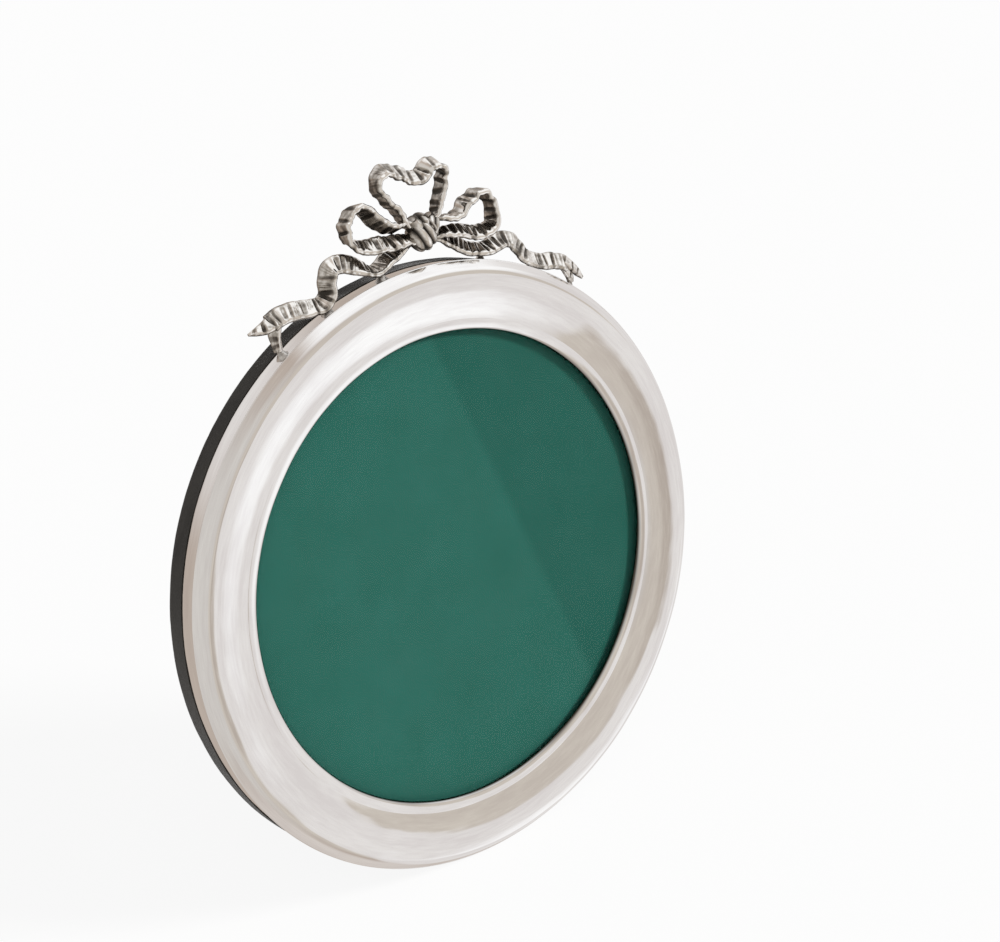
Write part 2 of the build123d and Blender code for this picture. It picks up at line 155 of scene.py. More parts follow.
LEFT_LOOP = [
    (-2.0, 7.4, 2.0, -30),
    (-5.0, 7.8, 2.0, -30),
    (-8.9, 8.3, 2.0, -40),
    (-12.4, 8.8, 2.0, -45),
    (-16.1, 9.5, 2.0, -45),
    (-20.0, 11.0, 2.1, -35),
    (-22.4, 13.4, 2.3, -10),
    (-22.2, 16.1, 2.6, 0),
    (-20.5, 18.2, 2.9, 0),
    (-19.3, 20.1, 3.0, 0),
    (-17.6, 21.3, 3.0, -5),
    (-15.9, 20.1, 3.0, -20),
    (-14.7, 17.7, 3.0, -30),
    (-12.9, 15.3, 3.0, -35),
    (-10.8, 13.3, 3.0, -30),
    (-7.8, 11.9, 3.0, -20),
    (-2.0, 11.7, 3.0, -10),
]
RIGHT_LOOP = [
    (2.0, 7.4, 2.2, 25),
    (5.0, 7.8, 2.2, 25),
    (8.2, 7.9, 2.2, 30),
    (12.0, 7.6, 2.2, 40),
    (15.9, 7.4, 2.2, 45),
    (19.4, 8.2, 2.4, 35),
    (22.3, 10.2, 2.8, 20),
    (22.3, 13.0, 3.0, 10),
    (21.0, 16.0, 3.0, 5),
    (19.0, 18.3, 3.0, 0),
    (16.5, 18.0, 3.0, -10),
    (13.8, 15.5, 3.0, -20),
    (11.9, 13.4, 3.2, -15),
    (8.6, 11.9, 3.3, -5),
    (2.0, 11.6, 3.4, 5),
]
LEFT_TAIL = [
    (-2.0, 7.2, 4.6, -20),
    (-6.0, 6.4, 4.6, -35),
    (-11.0, 4.4, 4.2, -35),
    (-15.4, 2.7, 3.6, -20),
    (-18.8, 3.8, 3.2, -30),
    (-22.3, 6.6, 3.0, -60),
    (-25.8, 9.0, 3.0, -65),
    (-29.0, 9.6, 3.0, -50),
    (-31.2, 6.9, 3.0, -40),
    (-33.0, 3.8, 3.0, -40),
    (-35.6, 2.6, 3.0, -40),
    (-39.2, 4.0, 3.0, -50),
    (-43.0, 6.2, 3.0, -55),
    (-46.7, 8.0, 3.0, -55),
    (-50.0, 8.6, 3.0, -52),
]
RIGHT_TAIL = [
    (2.0, 7.6, 4.6, 20),
    (6.0, 6.8, 4.6, 45),
    (10.4, 5.0, 4.3, 55),
    (14.8, 3.0, 3.7, 45),
    (19.6, 2.4, 3.1, 35),
    (23.4, 4.2, 3.0, 42),
    (26.6, 6.2, 3.0, 50),
    (29.8, 6.4, 3.0, 60),
    (32.6, 4.4, 3.0, 65),
    (36.2, 2.5, 3.0, 55),
    (41.0, 2.6, 3.0, 55),
    (45.8, 4.4, 3.0, 58),
    (50.4, 5.4, 3.0, 62),
]
LEFT_FORK_OUT = [(-48.4, 8.4, 3.0, -50, 4.2), (-51.8, 8.8, 3.0, -52, 3.2), (-55.9, 11.1, 3.0, -55, 0.6)]
LEFT_FORK_IN = [(-49.0, 7.6, 3.0, -50, 3.2), (-51.2, 5.0, 3.0, -40, 3.0), (-52.8, 1.4, 3.0, -30, 2.0)]
RIGHT_FORK_OUT = [(49.6, 6.2, 3.0, 62, 2.6), (53.6, 5.4, 3.0, 65, 2.6), (58.2, 4.4, 3.0, 70, 0.8)]
RIGHT_FORK_IN = [(49.8, 4.4, 3.0, 62, 2.6), (52.6, 3.2, 3.0, 65, 2.6), (54.9, 1.2, 3.0, 70, 1.4)]

# Each piece of the bow: its name, its CAD node, and the rows, seed, sway and crease gap of its ribbons
BOW_PIECES = [
    ("bow_top_ribbon", "bow_top_loop", [(TOP_LOOP, 1, 0.9, 1.5)]),
    ("bow_left_ribbon", "bow_left_loop", [(LEFT_LOOP, 2, 0.9, 1.4)]),
    ("bow_right_ribbon", "bow_right_loop", [(RIGHT_LOOP, 3, 0.9, 1.5)]),
    ("bow_left_end", "bow_left_tail", [
        (LEFT_TAIL, 4, 0.5, 1.0), (LEFT_FORK_OUT, 5, 0.2, 1.2), (LEFT_FORK_IN, 6, 0.2, 1.2),
    ]),
    ("bow_right_end", "bow_right_tail", [
        (RIGHT_TAIL, 7, 0.5, 1.0), (RIGHT_FORK_OUT, 8, 0.2, 1.2), (RIGHT_FORK_IN, 9, 0.2, 1.2),
    ]),
]

# Sway of the ribbons: how fast the noise changes along them, its step from seed to seed, and its layer
SLOW_SWAY = (0.3, 3.7, 0.5)
QUICK_SWAY = (0.75, 1.9, 4.5)
QUICK_SHARE = 0.5

# Ripple of the ribbons' edges, as a share of their width, and how fast it changes along them
RIPPLE = 0.1
RIPPLE_SCALE = 0.3

# Creases across the ribbons: groups of fine lines among single folds, which lie some gaps apart
FIRST_GAPS = (0.5, 1.2)
FOLD_SKEWS = (-0.6, 0.6)
FOLD_DEPTHS = (0.25, 0.6)
FOLD_HALVES = (0.35, 0.75)
FOLD_GAPS = (1.3, 2.7)
LINES_CHANCE = 0.22
LINES_COUNT = 3
LINE_APART = 0.55
LINE_DEPTH = 0.14
LINE_HALF = 0.15
LINES_GAPS = (0.5, 1.0)
CREASE_REACH = 2.4
CREASE_MOST = 0.6
CREASE_POWER = 4
VALLEY_EDGE = 0.8

# Oxide and painted light of the ribbons, from 0 for bright to 1 for dark; the shown weights paint light
# where they face front and up
TARNISH = 0.58
FRONT_SHOWN = 0.8
TOP_SHOWN = 0.4
SHOWN_LEAST = -0.15
PAINTED_LIGHT_SHARE = 0.6
VALLEY_TARNISH = 0.8
CREASE_TARNISH = 0.7
BROAD_GRIME = 0.4
BROAD_GRIME_SCALES = (0.25, 1.5)
CLOSE_GRIME = 0.25
CLOSE_GRIME_SCALES = (0.9, 3.0)
# Edges rubbed bright where they face front and up: wear with a painted highlight
RUBBED_AND_HIGHLIGHT = 0.5
RUBBED_POWER = 8

# Wraps of the knot: offset from its middle, axis, half sizes along, beside and through, ridges and seed
KNOT_WRAPS = [
    ((-0.5, -0.3, -0.2), (0.84, 0.0, 0.54), (5.1, 5.3, 4.3), 4, 3),
    ((2.3, 0.2, 0.8), (0.9, 0.0, -0.43), (2.9, 4.6, 3.9), 2, 8),
    ((-1.4, -0.2, 2.6), (0.95, 0.0, 0.3), (3.6, 2.8, 3.8), 2, 12),
]
WRAP_GROOVE = 0.84
WRAP_RIDGE = 0.16
WRAP_POWER = 0.8
WRAP_DENT = 0.05
WRAP_DENT_SCALE = 3.0
WRAP_TWIST = 0.3
# Knot oxide and painted light: a base, the light painted where it faces front, and oxide in its grooves
WRAP_TARNISH = 0.52
WRAP_SHOWN = 0.9
GROOVE_TARNISH = 1.2
WRAP_GRIME = 0.25
WRAP_GRIME_SCALE = 4

# Solder: places along the rim, and the height and radius of each level of a lump
SOLDER_PLACES = [-52.8, -35.2, -15.6, 19.2, 38.2, 54.6]
SOLDER_LEVELS = [(0.0, 1.7), (0.2, 1.55), (0.5, 1.3), (0.9, 1.05), (1.3, 0.85), (1.7, 0.6), (2.0, 0.3)]
SOLDER_SUNK = 0.1
SOLDER_SEED = 40
SOLDER_STRETCH = (1.0, 1.5)
SOLDER_LUMP = 0.2
SOLDER_LUMP_SCALE = 1.3
SOLDER_LUMP_SHIFT = 5

# Fineness of the meshes: counts of steps, and two lengths in millimetres
RING_STEPS = 360
CROWN_STEPS = 40
SLOPE_STEPS = 20
UNDERSIDE_STEPS = 10
ROLL_STEPS = 12
SWEEP_STEPS = 16
EDGE_STEPS = 8
BAND_STEPS = 6
BAND_EDGE_STEPS = 5
BACK_RINGS = 24
SMOOTH_STEPS = 60
FLAT_STEPS = 8
LEAST_STATIONS = 4
WRAP_ROWS = 60
WRAP_COLUMNS = 72
SOLDER_COLUMNS = 28
BEVEL_STEPS = 4
STAY_COLUMNS = 12
RIBBON_STEP = 0.2
STAY_STEP = 0.8

# Edges sharper than this many degrees stay sharp, and nothing is divided by less than the least length
SHARP_ANGLE = 50
LEAST_LENGTH = 1e-9

# Radius of the circle that stands for one turn around a ring in the noise of the polishing marks
POLISH_AROUND = 7.0

# The frame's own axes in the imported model
JOINTS = {joint["name"]: joint for joint in frame["joints"]}
RIGHT = Vector((1, 0, 0))
BACKWARD = Vector(JOINTS["back_pull_off"]["axis"]).normalized()
UPWARD = RIGHT.cross(BACKWARD)
HINGE = Vector(JOINTS["strut_fold"]["pos_m"])
CENTRE = HINGE - (BACKWARD * HINGE_BACK + UPWARD * HINGE_UP) * MM

# Straight back, for points that are still in the frame's own axes
DEPTH = Vector((0.0, 1.0, 0.0))


def place(point):
    """A point in the frame's own axes, in millimetres, as a point of the model in metres."""
    x, y, z = point
    return CENTRE + (RIGHT * x + BACKWARD * y + UPWARD * z) * MM


# Building meshes


def add_piece(mesh, material, body, nodes):
    """A smooth piece of a mesh that rides on a body and stands for CAD nodes."""
    mesh.polygons.foreach_set("use_smooth", [True] * len(mesh.polygons))
    mesh.set_sharp_from_angle(angle=math.radians(SHARP_ANGLE))
    mesh.materials.append(material)
    piece = bpy.data.objects.new(mesh.name, mesh)
    bpy.context.scene.collection.objects.link(piece)
    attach(piece, body)
    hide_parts(*nodes)
    return piece


def make_piece(name, points, faces, material, body, nodes):
    """A piece made of points in the frame's own axes and faces between them."""
    mesh = bpy.data.meshes.new(name)
    mesh.from_pydata([place(point) for point in points], [], faces)
    mesh.update()
    build = bmesh.new()
    build.from_mesh(mesh)
    bmesh.ops.recalc_face_normals(build, faces=build.faces)
    build.to_mesh(mesh)
    build.free()
    return add_piece(mesh, material, body, nodes)


def set_values(piece, name, values):
    """Keep one number for each point of a piece, for its material to read."""
    attribute = piece.data.attributes.new(name, "FLOAT", "POINT")
    attribute.data.foreach_set("value", values)


def set_polish_lines(piece, points):
    """Keep a place for each point of a turned piece that changes slowly around it and fast across it."""
    places = []
    for point in points:
        radius = math.hypot(point.x, point.z)
        turn = math.atan2(point.x, point.z)
        places += [POLISH_AROUND * math.sin(turn), POLISH_AROUND * math.cos(turn), radius + point.y]
    attribute = piece.data.attributes.new("polish", "FLOAT_VECTOR", "POINT")
    attribute.data.foreach_set("vector", places)


def lathe(outline, relief):
    """Points and faces of an outline of (radius, depth) turned about the frame's axis."""
    points = []
    rows = []
    for step in range(RING_STEPS):
        turn = 2 * math.pi * step / RING_STEPS
        row = []
        for radius, depth in outline:
            point = Vector((radius * math.sin(turn), depth, radius * math.cos(turn)))
            row.append(len(points))
            points.append(point + relief(point, radius))
        rows.append(row)
    faces = []
    count = len(outline)
    for step in range(RING_STEPS):
        here = rows[step]
        there = rows[(step + 1) % RING_STEPS]
        for index in range(count):
            after = (index + 1) % count
            faces.append((here[index], there[index], there[after], here[after]))
    return points, faces


def arc(centre, radius, first, last, steps):
    """Points on an arc of an outline; angles are in degrees from straight forward, turning outwards."""
    result = []
    for step in range(steps + 1):
        turn = math.radians(first + (last - first) * step / steps)
        result.append((centre[0] + radius * math.sin(turn), centre[1] - radius * math.cos(turn)))
    return result


def curve_point(first, corner, last, t):
    """A point on the curve that leaves first towards a corner and comes from there to last."""
    return first * (1 - t) ** 2 + corner * (2 * t * (1 - t)) + last * t ** 2


def outward(point):
    """The direction straight out from the frame's axis at a point."""
    return Vector((point.x, 0.0, point.z)).normalized()


def crown_radius(reach):
    """Radius of a round section that falls by the dome's rise over the given reach."""
    return (reach * reach + DOME_RISE * DOME_RISE) / (2 * DOME_RISE)


def silver_relief(point, radius):
    """The slight unevenness of hand-worked sheet silver, square to the frame, on its front only."""
    if point.y > BEAD_WALL_TOP:
        return Vector((0.0, 0.0, 0.0))
    broad = noise.noise(point * SILVER_BROAD_SCALE + SILVER_BROAD_SHIFT)
    close = noise.noise(point * SILVER_CLOSE_SCALE + SILVER_CLOSE_SHIFT)
    turn = math.atan2(point.x, point.z)
    around = (SILVER_SPUN_AROUND * math.sin(turn), SILVER_SPUN_AROUND * math.cos(turn))
    spun = noise.noise(Vector((radius * SILVER_SPUN_SCALE, *around)))
    drop = SILVER_DROP + SILVER_BROAD * broad + SILVER_CLOSE * close + SILVER_SPUN * spun
    return Vector((0.0, drop, 0.0))


def band_relief(point, radius):
    """The slight unevenness of the band, all of it inwards."""
    return outward(point) * (BAND_RELIEF * noise.noise(point * BAND_RELIEF_SCALE) - BAND_RELIEF)


def velvet_relief(point, radius):
    """The unevenness of the velvet: slight on its face, and all of it inwards around its edge."""
    if radius < BACK_R - VELVET_ROUND:
        return Vector((0.0, VELVET_FACE * noise.noise(point * VELVET_FACE_SCALE), 0.0))
    pile = noise.noise(point * VELVET_PILE_SCALE) * VELVET_PILE
    pile += noise.noise(point * VELVET_EDGE_SCALE) * VELVET_EDGE
    return outward(point) * min(pile - VELVET_DROP, 0.0)


def make_turned_silver(name, node, outline, relief, material):
    """A polished piece turned about the frame's axis, and its points."""
    points, faces = lathe(outline, relief)
    piece = make_piece(name, points, faces, material, "surround", [node])
    set_polish_lines(piece, points)
    return piece, points


def make_silver_front(material):
    inner = crown_radius(CROWN_R - CREASE_R)
    outer = crown_radius(FLANGE_IN_R - CROWN_R)
    inner_centre = (CROWN_R, inner - DOME_RISE)
    outer_centre = (CROWN_R, outer - DOME_RISE)
    inner_turn = math.degrees(math.asin((CROWN_R - CREASE_R) / inner))
    outline = arc(inner_centre, inner, -inner_turn, 0, CROWN_STEPS)
    outline += arc(outer_centre, outer, SLOPE_START, FLANGE_TURN, SLOPE_STEPS)
    foot = Vector(outline[-1])
    slope = math.radians(FLANGE_TURN)
    corner = foot + Vector((math.cos(slope), math.sin(slope))) * (-foot.y / math.sin(slope))
    rim = Vector((FRAME_R - FLANGE_ROUND, 0.0))
    outline += [tuple(curve_point(foot, corner, rim, step / EDGE_STEPS)) for step in range(1, EDGE_STEPS)]
    outline += arc((FRAME_R - FLANGE_ROUND, FLANGE_ROUND), FLANGE_ROUND, 0, 180, EDGE_STEPS)
    outline += [(CROWN_R + outer - SHEET, SHEET)]
    outline += arc(outer_centre, outer - SHEET, UNDERSIDE_START, 0, EDGE_STEPS)
    outline += arc(inner_centre, inner - SHEET, UNDERSIDE_NEXT, -inner_turn, UNDERSIDE_STEPS)
    make_turned_silver("silver_front_sheet", "silver_front", outline, silver_relief, material)


def make_sight_bead(material):
    width = CREASE_R - SIGHT_R - BEAD_ROLL
    sweep = (width ** 2 + BEAD_WALL_TOP ** 2 - BEAD_ROLL ** 2) / (2 * (BEAD_WALL_TOP - BEAD_ROLL))
    turn = math.degrees(math.asin(width / (sweep - BEAD_ROLL)))
    outline = arc((SIGHT_R + BEAD_ROLL, BEAD_WALL_TOP), BEAD_ROLL, -90, -turn, ROLL_STEPS)
    outline += arc((CREASE_R, sweep), sweep, -turn, 0, SWEEP_STEPS)[1:]
    outline += [(CREASE_R, BEAD_BACK), (SIGHT_R + BEAD_CHAMFER, BEAD_BACK)]
    outline += [(SIGHT_R, BEAD_BACK - BEAD_CHAMFER)]
    piece, points = make_turned_silver("sight_bead_wire", "sight_bead", outline, silver_relief, material)
    # Painted shade: the bead darkens from its front towards the glass, where the lip's shadow falls on its
    # inner wall
    grime = [min(max((point.y - PAINTED_SHADE_TOP) / PAINTED_SHADE_FADE, 0.0), 1.0) for point in points]
    set_values(piece, "tarnish_and_painted_shading", grime)


def make_rim_band(material):
    outline = [(BAND_R - SHEET, SHEET), (BAND_R, SHEET)]
    outline += [(BAND_R, SHEET + (BAND_DEPTH - SHEET) * step / BAND_STEPS) for step in range(1, BAND_STEPS)]
    outline += arc((BAND_R - BAND_ROUND, BAND_DEPTH - BAND_ROUND), BAND_ROUND, 90, 180, BAND_EDGE_STEPS)
    outline += [(BAND_R - SHEET, BAND_DEPTH)]
    make_turned_silver("rim_band_strip", "rim_band", outline, band_relief, material)


def make_back_velvet(material):
    edge_r = BACK_R - VELVET_ROUND
    edge_depth = BACK_FACE - VELVET_ROUND
    outline = [(BACK_R - VELVET, BAND_DEPTH), (BACK_R, BAND_DEPTH)]
    for step in range(1, EDGE_STEPS):
        outline.append((BACK_R, BAND_DEPTH + (edge_depth - BAND_DEPTH) * step / EDGE_STEPS))
    outline += arc((edge_r, edge_depth), VELVET_ROUND, 90, 180, EDGE_STEPS)
    for step in range(1, BACK_RINGS + 1):
        outline.append((edge_r * (BACK_RINGS - step) / BACK_RINGS + BACK_HOLE, BACK_FACE))
    outline += [(BACK_HOLE, BACK_FACE - VELVET), (BACK_R - VELVET, BACK_FACE - VELVET)]
    points, faces = lathe(outline, velvet_relief)
    make_piece("back_velvet_cover", points, faces, material, "back", ["back_velvet"])


# Ribbons of the bow


def rim_point(along, height, depth):
    """A point given along the rim from the top, above the rim, and back from the flange."""
    turn = along / FRAME_R
    reach = FRAME_R + height
    return Vector((reach * math.sin(turn), depth, reach * math.cos(turn)))


def smooth(rows):
    """Rows on a smooth curve through the given ones, with every value carried along."""
    result = []
    last = len(rows) - 1
    for index in range(last):
        a = rows[max(index - 1, 0)]
        b = rows[index]
        c = rows[index + 1]
        d = rows[min(index + 2, last)]
        for step in range(SMOOTH_STEPS):
            t = step / SMOOTH_STEPS
            result.append(tuple(
                0.5 * (2 * q + (r - p) * t + (2 * p - 5 * q + 4 * r - s) * t * t
                       + (3 * q - p - 3 * r + s) * t ** 3)
                for p, q, r, s in zip(a, b, c, d)
            ))
    result.append(rows[last])
    return result


def even_stations(rows):
    """Stations along a ribbon about RIBBON_STEP apart: place along it, centre, tilt and width of each."""
    fine = smooth([row if len(row) == FULL_ROW else row + (RIBBON_WIDTH,) for row in rows])
    centres = [rim_point(*row[:3]) for row in fine]
    lengths = [0.0]
    for before, after in zip(centres, centres[1:]):
        lengths.append(lengths[-1] + (after - before).length)
    count = max(LEAST_STATIONS, round(lengths[-1] / RIBBON_STEP))
    stations = []
    index = 0
    for step in range(count + 1):
        wanted = lengths[-1] * step / count
        while index < len(lengths) - 2 and lengths[index + 1] < wanted:
            index += 1
        share = (wanted - lengths[index]) / max(lengths[index + 1] - lengths[index], LEAST_LENGTH)
        centre = centres[index].lerp(centres[index + 1], share)
        ends = zip(fine[index][3:], fine[index + 1][3:])
        tilt, width = (first + (last - first) * share for first, last in ends)
        stations.append((wanted, centre, tilt, width))
    return stations


def pleats(length, gap, rng):
    """Irregular creases across a ribbon: place, depth, half width and skew of each."""
    result = []
    spot = rng.uniform(*FIRST_GAPS) * gap
    while spot < length:
        skew = rng.uniform(*FOLD_SKEWS)
        if rng.random() < LINES_CHANCE:
            for line in range(LINES_COUNT):
                result.append((spot + LINE_APART * line, LINE_DEPTH, LINE_HALF, skew))
            spot += LINE_APART * LINES_COUNT + rng.uniform(*LINES_GAPS) * gap
        else:
            result.append((spot, rng.uniform(*FOLD_DEPTHS), rng.uniform(*FOLD_HALVES), skew))
            spot += rng.uniform(*FOLD_GAPS) * gap
    return result


def ribbon_section():
    """Points around a strip with round edges, then their outward directions, each across and through."""
    flat = 1 - RIBBON_THICK / RIBBON_WIDTH
    half = [(flat * (2 * step / FLAT_STEPS - 1), 1.0, 0.0, 1.0) for step in range(FLAT_STEPS + 1)]
    for degrees in (65, 40, 15, -15, -40, -65):
        turn = math.radians(degrees)
        half.append((flat + (1 - flat) * math.cos(turn), math.sin(turn), math.cos(turn), math.sin(turn)))
    return half + [(-u, -v, -nu, -nv) for u, v, nu, nv in half]


SECTION = ribbon_section()


def ribbon_axes(stations, index, tilt):
    """The directions across a ribbon and out of its face at one of its stations."""
    last = len(stations) - 1
    ahead = (stations[min(index + 2, last)][1] - stations[max(index - 2, 0)][1]).normalized()
    side = Vector((-ahead.z, 0.0, ahead.x)).normalized()
    turn = math.radians(tilt)
    across = Vector((0.0, math.cos(turn), 0.0)) + side * math.sin(turn)
    across = (across - ahead * across.dot(ahead)).normalized()
    return across, ahead.cross(across)


def ribbon_noise(spot, other, along, other_scale, layer):
    """Noise from -1 to 1 that changes along a ribbon and with one other value."""
    return noise.noise(Vector((spot * along, other * other_scale, layer)))


def crease_depth(creases, spot, u):
    """How deep the creases cut at a place along and across a ribbon."""
    return sum(
        depth * math.exp(-((spot - where - skew * u) / half) ** CREASE_POWER)
        for where, depth, half, skew in creases
    )


def ribbon_tarnish_and_painted_light(out, spot, u, seed, valley, crease):
    """How dark a ribbon is: painted light where it faces front and up, oxide in its creases, and wear with a
    painted highlight on its edges.
    """
    # Painted light: lighter where the ribbon faces front and up, a little darker where it faces back
    shown = TOP_SHOWN * out.z - FRONT_SHOWN * out.y
    grime = BROAD_GRIME * ribbon_noise(spot, u, *BROAD_GRIME_SCALES, seed)
    grime += CLOSE_GRIME * ribbon_noise(spot, u, *CLOSE_GRIME_SCALES, seed)
    # Wear and a painted highlight: the edges brighten only where they face front and up
    rubbed_and_highlight = RUBBED_AND_HIGHLIGHT * u ** RUBBED_POWER * max(shown, 0.0)
    base = TARNISH - PAINTED_LIGHT_SHARE * max(shown, SHOWN_LEAST)
    return base + VALLEY_TARNISH * valley + CREASE_TARNISH * crease + grime - rubbed_and_highlight


def ribbon(rows, seed, wave, gap):
    """Points, faces, and oxide with painted light, of one creased silver ribbon, drawn together at the knot.
    """
    stations = even_stations(rows)
    creases = pleats(stations[-1][0], gap, random.Random(seed))
    points = []
    tarnish_and_painted_shading = []
    for index, (spot, centre, tilt, width) in enumerate(stations):
        across, normal = ribbon_axes(stations, index, tilt)
        sway = wave * ribbon_noise(spot, seed, *SLOW_SWAY)
        sway += QUICK_SHARE * wave * ribbon_noise(spot, seed, *QUICK_SWAY)
        from_knot = (centre - KNOT_MIDDLE).length
        gather = min(1.0, KNOT_LEAST + (1 - KNOT_LEAST) * from_knot / KNOT_REACH)
        thick = min(width, RIBBON_THICK) * gather
        near = [crease for crease in creases if abs(crease[0] - spot) < CREASE_REACH]
        for u, v, nu, nv in SECTION:
            crease = min(crease_depth(near, spot, u), CREASE_MOST) * thick / RIBBON_THICK
            valley = crease * max(0.0, 1.0 - (u / VALLEY_EDGE) ** CREASE_POWER)
            ripple = RIPPLE * noise.noise(Vector((spot * RIPPLE_SCALE, seed, 2 * u)))
            half_width = width / 2 * RIBBON_FLARE * gather * (1 + ripple)
            lift = v * thick / 2 - nv * valley
            points.append(centre + across * (u * half_width) + normal * (lift + sway))
            tarnish_and_painted_shading.append(ribbon_tarnish_and_painted_light(across * nu + normal * nv, spot, u, seed, valley, crease))
    return points, tube_faces(len(stations), len(SECTION)), tarnish_and_painted_shading


def tube_faces(stations, count):
    """Faces of a closed tube of sections, with both ends capped."""
    faces = [tuple(range(count)), tuple(range((stations - 1) * count, stations * count))]
    for station in range(stations - 1):
        here = station * count
        there = here + count
        for index in range(count):
            after = (index + 1) % count
            faces.append((here + index, here + after, there + after, there + index))
    return faces


def joined(parts):
    """Several sets of points and faces as one."""
    points = []
    faces = []
    for part_points, part_faces in parts:
        start = len(points)
        points += part_points
        faces += [tuple(start + index for index in face) for face in part_faces]
    return points, faces


def make_bow_piece(name, node, parts, material):
    """One piece of the bow, joined from sets of points, faces, and oxide with painted light."""
    points, faces = joined([part[:2] for part in parts])
    piece = make_piece(name, points, faces, material, "surround", [node])
    set_values(piece, "tarnish_and_painted_shading", [value for part in parts for value in part[2]])


def wrap(centre, axis, sizes, ridges, seed):
    """One turn of the knot: a ball ridged in bands about an axis that lies in the bow's plane."""
    side = axis.cross(DEPTH).normalized()
    points = []
    tarnish_and_painted_shading = []
    for row in range(1, WRAP_ROWS):
        latitude = math.pi * row / WRAP_ROWS
        level = -math.cos(latitude)
        bulge = abs(math.sin(math.pi * ridges * (level + 1) / 2)) ** WRAP_POWER
        for column in range(WRAP_COLUMNS):
            turn = 2 * math.pi * column / WRAP_COLUMNS
            dent = WRAP_DENT * noise.noise(Vector((level * WRAP_DENT_SCALE, turn, seed)))
            ring = math.sin(latitude) * (WRAP_GROOVE + WRAP_RIDGE * bulge + dent)
            point = centre + axis * (level * sizes[0] + WRAP_TWIST * math.sin(turn))
            point += side * (ring * sizes[1] * math.cos(turn)) + DEPTH * (ring * sizes[2] * math.sin(turn))
            points.append(point)
            # Painted light: the knot is lighter where it faces front and darker where it faces back
            shown = -WRAP_SHOWN * math.sin(turn) * math.sin(latitude)
            grime = WRAP_GRIME * noise.noise(Vector((turn, level * WRAP_GRIME_SCALE, seed)))
            tarnish_and_painted_shading.append(WRAP_TARNISH - PAINTED_LIGHT_SHARE * shown + GROOVE_TARNISH * (1.0 - bulge) + grime)
    return points, tube_faces(WRAP_ROWS - 1, WRAP_COLUMNS), tarnish_and_painted_shading


def make_knot(material):
    parts = [
        wrap(KNOT_MIDDLE + Vector(offset), Vector(axis), sizes, ridges, seed)
        for offset, axis, sizes, ridges, seed in KNOT_WRAPS
    ]
    make_bow_piece("bow_knot_wraps", "bow_knot", parts, material)


def solder_lump(number, along):
    """Points and faces of one lump of solder that stands on the band."""
    turn = along / FRAME_R
    out = Vector((math.sin(turn), 0.0, math.cos(turn)))
    flow = Vector((math.cos(turn), 0.0, -math.sin(turn)))
    foot = out * (BAND_R - SOLDER_SUNK) + DEPTH * BOW_DEPTH
    stretch = random.Random(SOLDER_SEED + number).uniform(*SOLDER_STRETCH)
    points = []
    for height, radius in SOLDER_LEVELS:
        for column in range(SOLDER_COLUMNS):
            angle = 2 * math.pi * column / SOLDER_COLUMNS
            around = (math.cos(angle) * SOLDER_LUMP_SCALE, math.sin(angle) * SOLDER_LUMP_SCALE)
            lump = 1 + SOLDER_LUMP * noise.noise(Vector((*around, number * SOLDER_LUMP_SHIFT + height)))
            points.append(
                foot + out * height + flow * (radius * lump * stretch * math.cos(angle))
                + DEPTH * (radius * lump * math.sin(angle))
            )
    return points, tube_faces(len(SOLDER_LEVELS), SOLDER_COLUMNS)


def make_solder(material):
    points, faces = joined([solder_lump(number, along) for number, along in enumerate(SOLDER_PLACES)])
    make_piece("bow_solder_blobs", points, faces, material, "surround", ["bow_solder_feet"])


# Strut and stay


def open_point(y, z):
    """A point of the folded strut's section swung open about the hinge."""
    turn = math.radians(STRUT_ANGLE)
    dy = y - HINGE_BACK
    dz = z - HINGE_UP
    back = HINGE_BACK + dy * math.cos(turn) - dz * math.sin(turn)
    up = HINGE_UP + dy * math.sin(turn) + dz * math.cos(turn)
    return back, up


def make_strut_velvet(material):
    """A skin over the strut, open at its foot, with soft edges."""
    build = bmesh.new()
    rings = []
    for front in (STRUT_FACE, STRUT_FACE + STRUT_DEPTH):
        for half, z in ((STRUT_TOP_HALF, STRUT_TOP), (STRUT_FOOT_HALF, STRUT_LOW)):
            y_open, z_open = open_point(front, z)
            rings.append([build.verts.new(place((x, y_open, z_open))) for x in (-half, half)])
    (a, b), (c, d), (e, f), (g, h) = rings
    for corners in ((a, b, d, c), (e, f, h, g), (a, b, f, e), (c, d, h, g), (a, c, g, e), (b, d, h, f)):
        build.faces.new(corners)
    bmesh.ops.recalc_face_normals(build, faces=build.faces)
    bmesh.ops.bevel(
        build, geom=build.edges[:], offset=STRUT_EDGE * MM, segments=BEVEL_STEPS, profile=0.5, affect="EDGES"
    )
    bmesh.ops.bisect_plane(
        build, geom=build.verts[:] + build.edges[:] + build.faces[:],
        plane_co=(0, 0, 0), plane_no=(0, 0, 1), clear_inner=True,
    )
    mesh = bpy.data.meshes.new("strut_velvet_cover")
    build.to_mesh(mesh)
    build.free()
    piece = add_piece(mesh, material, "strut", ["strut_velvet"])
    skin = piece.modifiers.new("skin", "SOLIDIFY")
    skin.thickness = STRUT_SKIN * MM
    skin.offset = -1


def stay_path():
    """The stay's line from its tab on the back to its tab on the strut."""
    low = HINGE_UP - STAY_DROP
    drop = STAY_DROP + STAY_OFFSET
    corners = [Vector(corner) for corner in (
        (BACK_FACE + STAY_OFF, low + STAY_TAB),
        (BACK_FACE + STAY_OFF, low),
        open_point(STRUT_FACE - STAY_OFF, HINGE_UP - drop),
        open_point(STRUT_FACE - STAY_OFF, HINGE_UP - drop - STAY_TAB),
    )]
    path = [corners[0]]
    for before, corner, after in zip(corners, corners[1:], corners[2:]):
        first = corner + (before - corner).normalized() * STAY_BEND
        last = corner + (after - corner).normalized() * STAY_BEND
        path += [curve_point(first, corner, last, step / EDGE_STEPS) for step in range(EDGE_STEPS + 1)]
    path.append(corners[-1])
    return path


